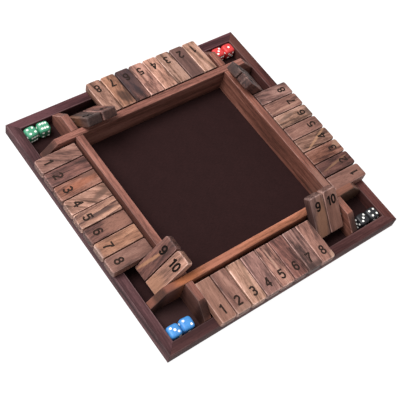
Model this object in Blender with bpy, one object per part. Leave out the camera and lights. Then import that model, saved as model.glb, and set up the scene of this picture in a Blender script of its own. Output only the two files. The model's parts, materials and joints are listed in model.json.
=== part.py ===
"""Four-sided shut the box board: a square tray, four rows of ten hinged number tiles, four pairs of dice.

Metres, +Z up. The origin is the centre of the board's underside. Each side of the board is
drawn in its own frame: u runs outwards, v from left to right for the player who sits there,
z up. The side is then turned about +Z to its place. Side c is the unturned one.
"""
import math

import bmesh
import bpy
from mathutils import Matrix, Vector

# Joints between pieces
GAP = 0.0003  # glue line, and the air between pieces that rest on each other
OVERRUN = 0.002  # how far every cutter runs past the face it opens

# Number tiles
TILES_PER_ROW = 10
TILE_WIDTH = 0.0206
TILE_THICKNESS = 0.0120
TILE_OVERHANG = 0.0024  # how far the free end stands out past the frame
TILE_TAIL_GAP = 0.0042  # air between the short end and the rail
TILE_NOSE_RADIUS = 0.0013
TILE_TAIL_RADIUS = 0.0010
TILE_EDGE = 0.0007
ROW_PLAY = 0.0152  # room that ten tiles leave between the rails
STANDING_TILES = (9, 10)  # the tiles that lean inwards on the rail

# Rods that the tiles turn on
ROD_DIAMETER = 0.0030
ROD_FROM_RAIL = 0.0176
ROD_HEIGHT = 0.0259
ROD_SOCKET_DEPTH = 0.0050
ROD_SOCKET_PLAY = 0.0003
TILE_BORE_PLAY = 0.0003

# Inner rails, which cross and run on to the frame
RAIL_THICKNESS = 0.0096
RAIL_TOP = 0.0362
RAIL_SLOPE_RUN = 0.0189
RAIL_EDGE = 0.0008

# Dice and the corner pockets that hold two of them
DIE_SIDE = 0.0160
DIE_EDGE = 0.0026
DIE_WALL_GAP = 0.0008
DIE_END_GAP = 0.0016
DIE_PAIR_GAP = 0.0012
POCKET_ROOM = 0.0120  # what a pocket is wider than its two dice

# Outer frame and floor
FRAME_WIDTH = 0.0136
FRAME_HEIGHT = 0.0178
FRAME_EDGE = 0.0010
MITRE_GROOVE = 0.0003
BASE_THICKNESS = 0.0018
BASE_REBATE = 0.0060
FELT_THICKNESS = 0.0006

# Facets
ARC_STEPS = 3
BORE_SIDES = 12
ROD_SIDES = 12
EDGE_STEPS = 2
ROUND_PROFILE = 0.5
SMOOTH_ANGLE_DEG = 40.0
DIE_SMOOTH_ANGLE_DEG = 50.0

# Each side's turn about +Z from side c
SIDE_TURN_DEG = {"a": 180.0, "b": -90.0, "c": 0.0, "d": 90.0}

# Air before tile 1, between neighbours and after tile 10, as shares of the row's play
ROW_GAP_SHARES = {
    "a": (3.6, 1.3, 1.2, 1.3, 0.9, 1.4, 1.2, 1.4, 1.2, 1.3, 0.4),
    "b": (1.3, 1.3, 2.0, 0.9, 0.8, 0.9, 1.4, 0.5, 0.9, 1.1, 4.1),
    "c": (0.4, 1.7, 1.1, 1.3, 1.0, 1.1, 1.1, 1.0, 1.0, 1.1, 4.4),
    "d": (0.9, 0.9, 1.5, 0.7, 1.3, 1.1, 1.5, 1.1, 1.0, 1.0, 4.2),
}

# Pocket of each colour as the signs of its x and y, and the turn of its outer and inner die
DICE_POCKETS = {
    "green": (-1, 1, (6.0, -4.0)),
    "red": (1, 1, (0.0, 2.5)),
    "black": (1, -1, (2.5, 1.0)),
    "blue": (-1, -1, (-2.0, -4.0)),
}

# Wood tone of every tile, 1 to 10
ROW_TONES = {
    "a": ("rose", "umber", "russet", "tan", "striped", "umber", "golden", "rose", "umber", "tan"),
    "b": ("tan", "rose", "straw", "greyed", "rose", "umber", "greyed", "rose", "greyed", "rose"),
    "c": ("rose", "umber", "russet", "tan", "rose", "straw", "rose", "greyed", "umber", "greyed"),
    "d": ("straw", "greyed", "straw", "tan", "rose", "umber", "golden", "tan", "umber", "greyed"),
}

# Finish of each material: red, green, blue, roughness, metallic
FINISHES = {
    "frame_wood": (0.105, 0.058, 0.056, 0.55, 0.0),
    "rail_wood": (0.305, 0.135, 0.098, 0.55, 0.0),
    "base_wood": (0.060, 0.035, 0.028, 0.70, 0.0),
    "felt": (0.030, 0.016, 0.013, 0.95, 0.0),
    "rod_steel": (0.620, 0.610, 0.590, 0.30, 1.0),
    "tile_rose": (0.300, 0.165, 0.120, 0.60, 0.0),
    "tile_umber": (0.115, 0.070, 0.058, 0.60, 0.0),
    "tile_russet": (0.330, 0.140, 0.085, 0.60, 0.0),
    "tile_tan": (0.420, 0.250, 0.160, 0.60, 0.0),
    "tile_striped": (0.360, 0.210, 0.140, 0.60, 0.0),
    "tile_golden": (0.430, 0.215, 0.100, 0.60, 0.0),
    "tile_straw": (0.480, 0.300, 0.190, 0.60, 0.0),
    "tile_greyed": (0.200, 0.130, 0.105, 0.60, 0.0),
    "dice_green": (0.080, 0.350, 0.220, 0.25, 0.0),
    "dice_red": (0.800, 0.050, 0.045, 0.25, 0.0),
    "dice_black": (0.030, 0.030, 0.032, 0.25, 0.0),
    "dice_blue": (0.070, 0.310, 0.800, 0.25, 0.0),
}

# Sizes that follow
TRAY_HALF = (TILES_PER_ROW * TILE_WIDTH + ROW_PLAY) / 2
RAIL_OUTER = TRAY_HALF + RAIL_THICKNESS
POCKET_SIDE = 2 * DIE_SIDE + POCKET_ROOM
FRAME_INNER = RAIL_OUTER + POCKET_SIDE
BOARD_HALF = FRAME_INNER + FRAME_WIDTH
ROD_U = RAIL_OUTER + ROD_FROM_RAIL
ROD_HALF = TRAY_HALF + ROD_SOCKET_DEPTH - GAP
TILE_HEAD = BOARD_HALF + TILE_OVERHANG - ROD_U
TILE_TAIL = ROD_FROM_RAIL - TILE_TAIL_GAP
FELT_BOTTOM = BASE_THICKNESS + GAP
FLOOR_TOP = FELT_BOTTOM + FELT_THICKNESS
LAP_HEIGHT = (FLOOR_TOP + GAP + RAIL_TOP) / 2


def clear_scene():
    """Remove every object that the file starts with."""
    for item in list(bpy.data.objects):
        bpy.data.objects.remove(item, do_unlink=True)


def make_materials():
    """Make one Principled material for each finish."""
    made = {}
    for name, (red, green, blue, roughness, metallic) in FINISHES.items():
        material = bpy.data.materials.new(name)
        material.use_nodes = True
        shader = material.node_tree.nodes["Principled BSDF"]
        shader.inputs["Base Color"].default_value = (red, green, blue, 1.0)
        shader.inputs["Roughness"].default_value = roughness
        shader.inputs["Metallic"].default_value = metallic
        made[name] = material
    return made


def place(name, mesh, material, location=(0.0, 0.0, 0.0), turn=(0.0, 0.0, 0.0)):
    """Put a mesh in the scene as one named object with its own material."""
    item = bpy.data.objects.new(name, mesh)
    bpy.context.scene.collection.objects.link(item)
    if not mesh.materials:
        mesh.materials.append(None)
    item.material_slots[0].link = "OBJECT"
    item.material_slots[0].material = material
    item.location = location
    item.rotation_euler = turn
    return item


def finish_mesh(name, shape):
    """Turn a bmesh into a mesh with its faces pointing out."""
    bmesh.ops.recalc_face_normals(shape, faces=shape.faces)
    mesh = bpy.data.meshes.new(name)
    shape.to_mesh(mesh)
    shape.free()
    return mesh


def shade_round(mesh, sharp_angle_deg=SMOOTH_ANGLE_DEG):
    """Shade a mesh smooth, up to the angle at which an edge stays sharp."""
    mesh.shade_smooth()
    mesh.set_sharp_from_angle(angle=math.radians(sharp_angle_deg))


def loft(shape, rings, closed=False):
    """Join equal rings of points with quads, then close both ends or join the last ring to the first."""
    rows = [[shape.verts.new(point) for point in ring] for ring in rings]
    count = len(rows[0])
    nexts = rows[1:] + rows[:1] if closed else rows[1:]
    for here, there in zip(rows, nexts):
        for index in range(count):
            after = (index + 1) % count
            shape.faces.new((here[index], here[after], there[after], there[index]))
    if not closed:
        shape.faces.new(rows[0][::-1])
        shape.faces.new(rows[-1])
    return rows


def cylinder(shape, radius, start, end, sides):
    """Add a closed cylinder between two points."""
    axis = end - start
    turn = Vector((0.0, 0.0, 1.0)).rotation_difference(axis).to_matrix().to_4x4()
    matrix = Matrix.Translation((start + end) / 2) @ turn
    bmesh.ops.create_cone(
        shape, cap_ends=True, cap_tris=False, segments=sides,
        radius1=radius, radius2=radius, depth=axis.length, matrix=matrix,
    )


def cut(mesh, cutter_shape):
    """Return the mesh with the cutter taken out of it."""
    cutter_mesh = finish_mesh(mesh.name + "_cutter", cutter_shape)
    body = bpy.data.objects.new(mesh.name + "_uncut", mesh)
    cutter = bpy.data.objects.new(mesh.name + "_cutter", cutter_mesh)
    for item in (body, cutter):
        bpy.context.scene.collection.objects.link(item)
    modifier = body.modifiers.new("cut", "BOOLEAN")
    modifier.operation = "DIFFERENCE"
    modifier.solver = "EXACT"
    modifier.object = cutter
    bpy.context.view_layer.update()
    evaluated = body.evaluated_get(bpy.context.evaluated_depsgraph_get())
    result = bpy.data.meshes.new_from_object(evaluated)
    bpy.data.objects.remove(body, do_unlink=True)
    bpy.data.objects.remove(cutter, do_unlink=True)
    return result


def corner_arc(centre_x, centre_z, radius, start_deg):
    """Points of a quarter circle that turns anticlockwise."""
    points = []
    for step in range(ARC_STEPS + 1):
        angle = math.radians(start_deg + 90.0 * step / ARC_STEPS)
        points.append((centre_x + radius * math.cos(angle), centre_z + radius * math.sin(angle)))
    return points


def tile_outline(inset):
    """Side view of a tile about the rod, drawn in by the inset all round."""
    top = TILE_THICKNESS / 2
    outline = []
    corners = (
        (TILE_HEAD - TILE_NOSE_RADIUS, top - TILE_NOSE_RADIUS, TILE_NOSE_RADIUS, 0.0),
        (TILE_TAIL_RADIUS - TILE_TAIL, top - TILE_TAIL_RADIUS, TILE_TAIL_RADIUS, 90.0),
        (TILE_TAIL_RADIUS - TILE_TAIL, TILE_TAIL_RADIUS - top, TILE_TAIL_RADIUS, 180.0),
        (TILE_HEAD - TILE_NOSE_RADIUS, TILE_NOSE_RADIUS - top, TILE_NOSE_RADIUS, 270.0),
    )
    for centre_x, centre_z, radius, start_deg in corners:
        outline += corner_arc(centre_x, centre_z, radius - inset, start_deg)
    return outline


def tile_mesh():
    """One tile with its bore, its origin on the rod's axis and its free end along +X."""
    shape = bmesh.new()
    half = TILE_WIDTH / 2
    stations = ((-half, TILE_EDGE), (TILE_EDGE - half, 0.0), (half - TILE_EDGE, 0.0), (half, TILE_EDGE))
    loft(shape, [[(x, y, z) for x, z in tile_outline(inset)] for y, inset in stations])
    mesh = finish_mesh("tile", shape)
    bore = bmesh.new()
    reach = Vector((0.0, half + OVERRUN, 0.0))
    cylinder(bore, ROD_DIAMETER / 2 + TILE_BORE_PLAY, -reach, reach, BORE_SIDES)
    return cut(mesh, bore)


def lean_angle():
    """Angle from level at which a tile's back rests on the rail's rounded outer edge."""
    away = Vector((RAIL_OUTER - RAIL_EDGE - ROD_U, RAIL_TOP - RAIL_EDGE - ROD_HEIGHT))
    reach = TILE_THICKNESS / 2 + GAP + RAIL_EDGE
    return math.atan2(away.y, away.x) - math.pi / 2 + math.acos(reach / away.length)


def lying_angle():
    """Angle from level at which a tile's underside rests on one of the frame's upper edges."""
    reach = TILE_THICKNESS / 2 + GAP
    angles = []
    for edge_u in (FRAME_INNER + FRAME_EDGE, BOARD_HALF - FRAME_EDGE):
        away = Vector((edge_u - ROD_U, FRAME_HEIGHT - ROD_HEIGHT))
        angles.append(math.atan2(away.y, away.x) + math.pi / 2 - math.acos(reach / away.length))
    return max(angles)


def tile_centres(side):
    """The v of each tile's middle along its row."""
    shares = ROW_GAP_SHARES[side]
    centres = []
    left = -TRAY_HALF
    for share in shares[:TILES_PER_ROW]:
        left += ROW_PLAY * share / sum(shares)
        centres.append(left + TILE_WIDTH / 2)
        left += TILE_WIDTH
    return centres


def add_tiles(materials):
    """Ten tiles on each side, the low numbers lying on the frame and the high ones leaning in."""
    mesh = tile_mesh()
    shade_round(mesh)
    for side, turn_deg in SIDE_TURN_DEG.items():
        turn = math.radians(turn_deg)
        for number, v in enumerate(tile_centres(side), start=1):
            angle = lean_angle() if number in STANDING_TILES else lying_angle()
            spot = Matrix.Rotation(turn, 4, "Z") @ Vector((ROD_U, v, ROD_HEIGHT))
            finish = materials["tile_" + ROW_TONES[side][number - 1]]
            place(f"tile_{side}{number}", mesh, finish, spot, (0.0, -angle, turn))


def add_rods(materials):
    """The rod of each row, with its ends in the sockets of the rails that it crosses to."""
    shape = bmesh.new()
    cylinder(
        shape, ROD_DIAMETER / 2,
        Vector((ROD_U, -ROD_HALF, ROD_HEIGHT)), Vector((ROD_U, ROD_HALF, ROD_HEIGHT)), ROD_SIDES,
    )
    mesh = finish_mesh("tile_rod", shape)
    shade_round(mesh)
    for side, turn_deg in SIDE_TURN_DEG.items():
        turn = (0.0, 0.0, math.radians(turn_deg))
        place(f"tile_rod_{side}", mesh, materials["rod_steel"], turn=turn)


def rail_outline(notch_above):
    """Front view of a rail, in v and z, with its lap notches; also the points of its upper edge."""
    foot = FLOOR_TOP + GAP
    end = FRAME_INNER - GAP
    shoulder = FRAME_INNER - RAIL_SLOPE_RUN
    near = TRAY_HALF - GAP
    far = RAIL_OUTER + GAP
    upper = [(end, FRAME_HEIGHT), (shoulder, RAIL_TOP)]
    lower = [(-end, foot)]
    if notch_above:
        floor = LAP_HEIGHT - GAP / 2
        upper += [(far, RAIL_TOP), (far, floor), (near, floor), (near, RAIL_TOP)]
        upper += [(-v, z) for v, z in upper[:1:-1]]
    else:
        roof = LAP_HEIGHT + GAP / 2
        lower += [(-far, foot), (-far, roof), (-near, roof), (-near, foot)]
        lower += [(-v, z) for v, z in lower[:0:-1]]
    upper += [(-shoulder, RAIL_TOP), (-end, FRAME_HEIGHT)]
    lower += [(end, foot)]
    return upper, lower


def rail_mesh(name, notch_above):
    """A rail with sloped ends, lap notches, eased upper edges and two rod sockets."""
    upper, lower = rail_outline(notch_above)
    outline = upper + lower
    shape = bmesh.new()
    rings = [[(u, v, z) for v, z in outline] for u in (TRAY_HALF, RAIL_OUTER)]
    rows = loft(shape, rings)
    eased = []
    for row in rows:
        for first, second in zip(row[:len(upper)], row[1:len(upper)]):
            if max(first.co.z, second.co.z) > LAP_HEIGHT + GAP and first.co.y != second.co.y:
                eased.append(shape.edges.get((first, second)))
    bmesh.ops.bevel(
        shape, geom=eased, offset=RAIL_EDGE, segments=EDGE_STEPS, profile=ROUND_PROFILE, affect="EDGES",
    )
    mesh = finish_mesh(name, shape)
    sockets = bmesh.new()
    for v in (-ROD_U, ROD_U):
        mouth = Vector((TRAY_HALF - OVERRUN, v, ROD_HEIGHT))
        bottom = Vector((TRAY_HALF + ROD_SOCKET_DEPTH, v, ROD_HEIGHT))
        cylinder(sockets, ROD_DIAMETER / 2 + ROD_SOCKET_PLAY, mouth, bottom, BORE_SIDES)
    return cut(mesh, sockets)


def add_rails(materials):
    """Four inner rails; b and d pass over a and c where they cross."""
    meshes = {"a": rail_mesh("rail_under", True), "b": rail_mesh("rail_over", False)}
    meshes["c"] = meshes["a"]
    meshes["d"] = meshes["b"]
    for side, turn_deg in SIDE_TURN_DEG.items():
        turn = (0.0, 0.0, math.radians(turn_deg))
        place(f"tray_rail_{side}", meshes[side], materials["rail_wood"], turn=turn)


def frame_profile(inset):
    """Section of a frame side, in u and z, with its outer, upper and inner faces drawn in."""
    inner = FRAME_INNER + inset
    outer = BOARD_HALF - inset
    top = FRAME_HEIGHT - inset
    rebate_top = BASE_THICKNESS + GAP
    return (
        (FRAME_INNER + BASE_REBATE, 0.0),
        (outer - FRAME_EDGE, 0.0),
        (outer, FRAME_EDGE),
        (outer, top - FRAME_EDGE),
        (outer - FRAME_EDGE, top),
        (inner + FRAME_EDGE, top),
        (inner, top - FRAME_EDGE),
        (inner, rebate_top),
        (FRAME_INNER + BASE_REBATE, rebate_top),
    )


def add_frame(materials):
    """The glued frame: four mitred sides with a fine groove at each mitre and a rebate underneath."""
    sections = []
    for turn_deg in sorted(SIDE_TURN_DEG.values()):
        turn = Matrix.Rotation(math.radians(turn_deg), 3, "Z")
        for sign in (-1.0, 1.0):
            full = [(u, sign * (u - MITRE_GROOVE), z) for u, z in frame_profile(0.0)]
            sections.append([turn @ Vector(point) for point in full])
        mitre = [(u, u, z) for u, z in frame_profile(MITRE_GROOVE)]
        sections.append([turn @ Vector(point) for point in mitre])
    shape = bmesh.new()
    loft(shape, sections, closed=True)
    place("outer_frame", finish_mesh("outer_frame", shape), materials["frame_wood"])


def add_sheet(name, half, bottom, thickness, material):
    """A flat square sheet."""
    shape = bmesh.new()
    corners = ((-half, -half), (half, -half), (half, half), (-half, half))
    loft(shape, [[(x, y, z) for x, y in corners] for z in (bottom, bottom + thickness)])
    place(name, finish_mesh(name, shape), material)


def add_dice(materials):
    """Two dice side by side in the outer corner of each pocket."""
    shape = bmesh.new()
    bmesh.ops.create_cube(shape, size=DIE_SIDE)
    bmesh.ops.bevel(
        shape, geom=list(shape.edges), offset=DIE_EDGE, segments=EDGE_STEPS, profile=ROUND_PROFILE,
        affect="EDGES",
    )
    mesh = finish_mesh("die", shape)
    shade_round(mesh, DIE_SMOOTH_ANGLE_DEG)
    y = FRAME_INNER - DIE_END_GAP - DIE_SIDE / 2
    outer_x = FRAME_INNER - DIE_WALL_GAP - DIE_SIDE / 2
    inner_x = outer_x - DIE_SIDE - DIE_PAIR_GAP
    z = FLOOR_TOP + GAP + DIE_SIDE / 2
    for colour, (sign_x, sign_y, turns_deg) in DICE_POCKETS.items():
        for number, (x, turn_deg) in enumerate(zip((outer_x, inner_x), turns_deg), start=1):
            spot = (sign_x * x, sign_y * y, z)
            turn = (0.0, 0.0, math.radians(turn_deg))
            place(f"die_{colour}_{number}", mesh, materials["dice_" + colour], spot, turn)


def main():
    """Build the whole board."""
    clear_scene()
    materials = make_materials()
    add_frame(materials)
    add_sheet("base_board", FRAME_INNER + BASE_REBATE - GAP, 0.0, BASE_THICKNESS, materials["base_wood"])
    add_sheet("felt_lining", FRAME_INNER - GAP, FELT_BOTTOM, FELT_THICKNESS, materials["felt"])
    add_rails(materials)
    add_rods(materials)
    add_tiles(materials)
    add_dice(materials)
    bpy.context.view_layer.update()


main()
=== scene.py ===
"""Looks of the four-sided shut the box board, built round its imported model.

Metres, +Z up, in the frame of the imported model: the origin is the centre of the board's underside.
Each side of the board is drawn in its own frame: u runs outwards, v from left to right for the
player who sits there, z up. The side is then turned about +Z to its place.
"""
import json
import logging
import math
import random
from dataclasses import dataclass, replace
from enum import Enum
from typing import Any, Iterable, Sequence

import bmesh
import bpy
from mathutils import Matrix, Vector

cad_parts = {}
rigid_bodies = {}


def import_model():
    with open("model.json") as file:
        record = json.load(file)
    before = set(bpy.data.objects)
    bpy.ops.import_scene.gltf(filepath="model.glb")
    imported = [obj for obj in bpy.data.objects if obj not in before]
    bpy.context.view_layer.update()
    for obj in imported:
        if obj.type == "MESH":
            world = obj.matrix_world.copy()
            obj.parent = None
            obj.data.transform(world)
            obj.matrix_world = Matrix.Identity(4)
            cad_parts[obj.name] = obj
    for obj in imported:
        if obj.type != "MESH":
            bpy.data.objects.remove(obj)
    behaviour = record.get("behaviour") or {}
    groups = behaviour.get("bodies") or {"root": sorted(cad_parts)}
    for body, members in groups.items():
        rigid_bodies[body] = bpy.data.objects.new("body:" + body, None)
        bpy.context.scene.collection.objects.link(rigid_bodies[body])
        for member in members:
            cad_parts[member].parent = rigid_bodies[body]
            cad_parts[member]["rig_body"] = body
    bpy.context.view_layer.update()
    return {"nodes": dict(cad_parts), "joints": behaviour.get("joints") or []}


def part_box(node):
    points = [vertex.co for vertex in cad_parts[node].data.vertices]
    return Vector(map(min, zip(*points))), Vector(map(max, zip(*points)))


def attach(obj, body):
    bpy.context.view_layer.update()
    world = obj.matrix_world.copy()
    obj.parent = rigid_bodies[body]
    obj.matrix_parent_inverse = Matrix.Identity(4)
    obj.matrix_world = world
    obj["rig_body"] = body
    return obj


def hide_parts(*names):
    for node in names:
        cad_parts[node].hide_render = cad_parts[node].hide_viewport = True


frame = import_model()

LOG = logging.getLogger("shut_the_box")

MM = 0.001
GAP = 0.3 * MM  # glue line, and the air between pieces that rest on each other
BOARD_BODY = "board"
ROUND_PROFILE = 0.5
ARRIS = "arris"  # attribute with each corner's share of arris wear and painted highlight
ARRIS_TURN = 0.18  # turn away from the flat faces, as 1 less its cosine, at which the wear and painted highlight are full
FLAT_DOT = 0.9995  # cosine of the turn up to which two faces count as level
SHARP_DEG = 35.0  # an edge that turns more than this stays sharp
BORE_SIDES = 24
QUARTER_TURN = math.pi / 2

Point2 = tuple[float, float]
Colour = tuple[float, float, float, float]
Material = bpy.types.Material
Mesh = bpy.types.Mesh
Node = bpy.types.Node
Shape = bmesh.types.BMesh
Socket = bpy.types.NodeSocket
Tree = bpy.types.NodeTree


class Side(Enum):
    """A player's side of the board, and its turn about +Z in degrees."""

    A = 180.0
    B = -90.0
    C = 0.0
    D = 90.0

    @property
    def letter(self) -> str:
        """The side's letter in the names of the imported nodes."""
        return self.name.lower()

    @property
    def turn(self) -> Matrix:
        """Matrix that turns the side's own frame to its place on the board."""
        return Matrix.Rotation(math.radians(self.value), 4, "Z")


# Sizes that every sub-assembly shares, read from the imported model
BOARD_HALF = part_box("outer_frame")[1].x
FRAME_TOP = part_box("outer_frame")[1].z
FELT_BOTTOM, FELT_TOP = (corner.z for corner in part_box("felt_lining"))
FRAME_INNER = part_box("felt_lining")[1].x + GAP
TRAY_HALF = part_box("tray_rail_c")[0].x
RAIL_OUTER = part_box("tray_rail_c")[1].x
RAIL_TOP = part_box("tray_rail_c")[1].z
ROD_U = sum(corner.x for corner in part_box("tile_rod_c")) / 2
ROD_Z = sum(corner.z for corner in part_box("tile_rod_c")) / 2
ROD_RADIUS = (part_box("tile_rod_c")[1].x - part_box("tile_rod_c")[0].x) / 2


# Shared mesh and material functions

def linear(srgb: str) -> Colour:
    """Turn an sRGB hex colour to linear red, green and blue with full alpha.

    Args:
        srgb: Colour such as #5e4445.

    Returns:
        The colour as Blender's sockets hold it, by the curve that sRGB is defined with.
    """
    channels = [int(srgb[place:place + 2], 16) / 255 for place in (1, 3, 5)]
    red, green, blue = (c / 12.92 if c <= 0.04045 else ((c + 0.055) / 1.055) ** 2.4 for c in channels)
    return red, green, blue, 1.0


def feed(node: Node, inputs: dict[int | str, Any]) -> None:
    """Set a node's inputs or link them to what feeds them.

    Args:
        node: The node.
        inputs: For each input's name or place, its value or the socket that feeds it.
    """
    for place, value in inputs.items():
        if isinstance(value, Socket):
            node.id_data.links.new(value, node.inputs[place])
        else:
            node.inputs[place].default_value = value


def add_node(
    tree: Tree,
    kind: str,
    inputs: dict[int | str, Any] | None = None,
    stops: Iterable[tuple[float, str]] = (),
    **settings: Any,
) -> Node:
    """Add a shader node with its settings and what feeds it.

    Args:
        tree: Node tree of the material.
        kind: Blender's name for the node, without its ShaderNode prefix.
        inputs: For each input's name or place, its value or the socket that feeds it.
        stops: Place and sRGB hex colour of each stop of a colour ramp.
        settings: The node's own settings.

    Returns:
        The new node.
    """
    node = tree.nodes.new("ShaderNode" + kind)
    for name, value in settings.items():
        setattr(node, name, value)
    feed(node, inputs or {})
    for index, (place, srgb) in enumerate(stops):
        elements = node.color_ramp.elements
        stop = elements[index] if index < len(elements) else elements.new(place)
        stop.position = place
        stop.color = linear(srgb)
    return node


def weighed(tree: Tree, parts: Sequence[tuple[Socket, float]]) -> Socket:
    """Add patterns up by their weights, about a middle of one half.

    Args:
        tree: Node tree of the material.
        parts: Socket and weight of each pattern, which runs from 0 to 1.

    Returns:
        The socket of the sum.
    """
    total: Any = (1 - sum(weight for _, weight in parts)) / 2
    for socket, weight in parts:
        total = add_node(tree, "Math", {0: socket, 1: weight, 2: total}, operation="MULTIPLY_ADD").outputs[0]
    return total


def new_material(name: str) -> tuple[Material, Node]:
    """Make a material.

    Args:
        name: Name of the material.

    Returns:
        The material and its Principled shader.
    """
    material = bpy.data.materials.new(name)
    material.use_nodes = True
    return material, material.node_tree.nodes["Principled BSDF"]


def smooth(mesh: Mesh, sharp_deg: float = SHARP_DEG) -> None:
    """Shade a mesh smooth, but for the edges that turn more than an angle."""
    mesh.shade_smooth()
    mesh.set_sharp_from_angle(angle=math.radians(sharp_deg))


def finish_mesh(name: str, shape: Shape) -> Mesh:
    """Turn a bmesh into a smooth mesh.

    Args:
        name: Name of the mesh.
        shape: The bmesh, which is freed.

    Returns:
        The mesh with its faces pointing out.
    """
    bmesh.ops.recalc_face_normals(shape, faces=shape.faces)
    mesh = bpy.data.meshes.new(name)
    shape.to_mesh(mesh)
    shape.free()
    smooth(mesh)
    return mesh


def loft(shape: Shape, rings: Iterable[Iterable[Vector]], closed: bool = False) -> list:
    """Join equal rings of points with quads.

    Args:
        shape: The bmesh that gets the faces.
        rings: Rings of points, one after the other.
        closed: Whether the last ring joins the first; otherwise both ends are capped.

    Returns:
        The rings as lists of vertices.
    """
    rows = [[shape.verts.new(point) for point in ring] for ring in rings]
    count = len(rows[0])
    for here, there in zip(rows, rows[1:] + rows[:1] if closed else rows[1:]):
        for index in range(count):
            after = (index + 1) % count
            shape.faces.new((here[index], here[after], there[after], there[index]))
    if not closed:
        shape.faces.new(rows[0][::-1])
        shape.faces.new(rows[-1])
    return rows


def arc(centre: Point2, radii: Point2, start_deg: float, end_deg: float, steps: int) -> list[Point2]:
    """Points of an elliptical arc.

    Args:
        centre: Centre of the ellipse.
        radii: Its two half axes.
        start_deg: Angle of the first point.
        end_deg: Angle of the last point, above the start for an anticlockwise arc.
        steps: Number of steps between them.

    Returns:
        The points, both ends included.
    """
    angles = [math.radians(start_deg + (end_deg - start_deg) * step / steps) for step in range(steps + 1)]
    return [(centre[0] + radii[0] * math.cos(a), centre[1] + radii[1] * math.sin(a)) for a in angles]


def rounded(corners: Iterable[tuple[Point2, float, float]], steps: int) -> list[Point2]:
    """Outline through quarter-round corners.

    Args:
        corners: Centre, radius and first angle in degrees of each corner, anticlockwise.
        steps: Number of steps of each corner.

    Returns:
        The points.
    """
    points = []
    for centre, radius, start_deg in corners:
        points += arc(centre, (radius, radius), start_deg, start_deg + 90.0, steps)
    return points


def round_bar(shape: Shape, start: Vector, end: Vector, radii: Sequence[Point2], sides: int) -> None:
    """Add a closed round bar whose radius changes along its length.

    Args:
        shape: The bmesh that gets the bar.
        start: Centre of the first end.
        end: Centre of the last end.
        radii: Distance from the start and radius of each ring.
        sides: Number of sides.
    """
    axis = (end - start).normalized()
    across = axis.orthogonal().normalized()
    upright = axis.cross(across)
    circle = arc((0.0, 0.0), (1.0, 1.0), 0.0, 360.0, sides)[:-1]
    loft(shape, [[start + axis * along + (across * x + upright * y) * radius for x, y in circle]
                 for along, radius in radii])


def cut(
    mesh: Mesh, cutter: Mesh, index: int = 0, overlapping: bool = False, sharp_deg: float = SHARP_DEG
) -> Mesh:
    """Take a cutter out of a mesh.

    Args:
        mesh: The mesh to cut.
        cutter: Closed mesh.
        index: Material index of the faces that the cutter leaves.
        overlapping: Whether the cutter's own parts run into each other.
        sharp_deg: Angle above which an edge of the cut mesh stays sharp.

    Returns:
        The cut mesh.
    """
    for polygon in cutter.polygons:
        polygon.material_index = index
    while len(mesh.materials) <= index:
        mesh.materials.append(None)
    items = [bpy.data.objects.new(data.name, data) for data in (mesh, cutter)]
    for item in items:
        bpy.context.scene.collection.objects.link(item)
    modifier = items[0].modifiers.new("cut", "BOOLEAN")
    modifier.operation = "DIFFERENCE"
    modifier.solver = "EXACT"
    modifier.use_self = overlapping
    modifier.object = items[1]
    bpy.context.view_layer.update()
    result = bpy.data.meshes.new_from_object(items[0].evaluated_get(bpy.context.evaluated_depsgraph_get()))
    for item in items:
        bpy.data.objects.remove(item, do_unlink=True)
    result.name = mesh.name
    smooth(result, sharp_deg)
    return result


def mark_arrises(mesh: Mesh, least_flat: float) -> None:
    """Note on each corner how far the surface there is turned away from the piece's flat faces.

    Args:
        mesh: The mesh, which gets the attribute that the timbers read.
        least_flat: Area above which a face counts as flat, in square metres.
    """
    flats: list[Vector] = []
    for polygon in sorted(mesh.polygons, key=lambda face: -face.area):
        if polygon.area < least_flat:
            break
        if all(polygon.normal.dot(flat) < FLAT_DOT for flat in flats):
            flats.append(polygon.normal.copy())
    worn = mesh.attributes.new(ARRIS, "FLOAT", "CORNER")
    for polygon in mesh.polygons:
        if max(polygon.normal.dot(flat) for flat in flats) > FLAT_DOT:
            continue
        for corner in polygon.loop_indices:
            normal = mesh.vertices[mesh.loops[corner].vertex_index].normal
            turned = 1 - max(normal.dot(flat) for flat in flats)
            worn.data[corner].value = min(1.0, turned / ARRIS_TURN)


def fit(
    name: str,
    mesh: Mesh,
    materials: Sequence[Material],
    slot: str,
    place: Matrix | None = None,
    node: str | None = None,
) -> bpy.types.Object:
    """Put a piece on the board, riding on its CAD body.

    Args:
        name: Name of the piece.
        mesh: Its mesh, which other pieces may share.
        materials: A material for each of the mesh's material indices.
        slot: The record's material slot that the piece's finish stands for; it is only logged.
        place: Where the mesh goes.
        node: CAD node that the piece stands for; without one it rides on the board.

    Returns:
        The new object.
    """
    piece = bpy.data.objects.new(name, mesh)
    bpy.context.scene.collection.objects.link(piece)
    while len(mesh.materials) < len(materials):
        mesh.materials.append(None)
    for index, material in enumerate(materials):
        piece.material_slots[index].link = "OBJECT"
        piece.material_slots[index].material = material
    piece.matrix_world = place or Matrix.Identity(4)
    if node:
        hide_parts(node)
    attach(piece, frame["nodes"][node]["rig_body"] if node else BOARD_BODY)
    LOG.info("%s: %d faces, finish %s", name, len(mesh.polygons), slot)
    return piece


# Finishes

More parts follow.
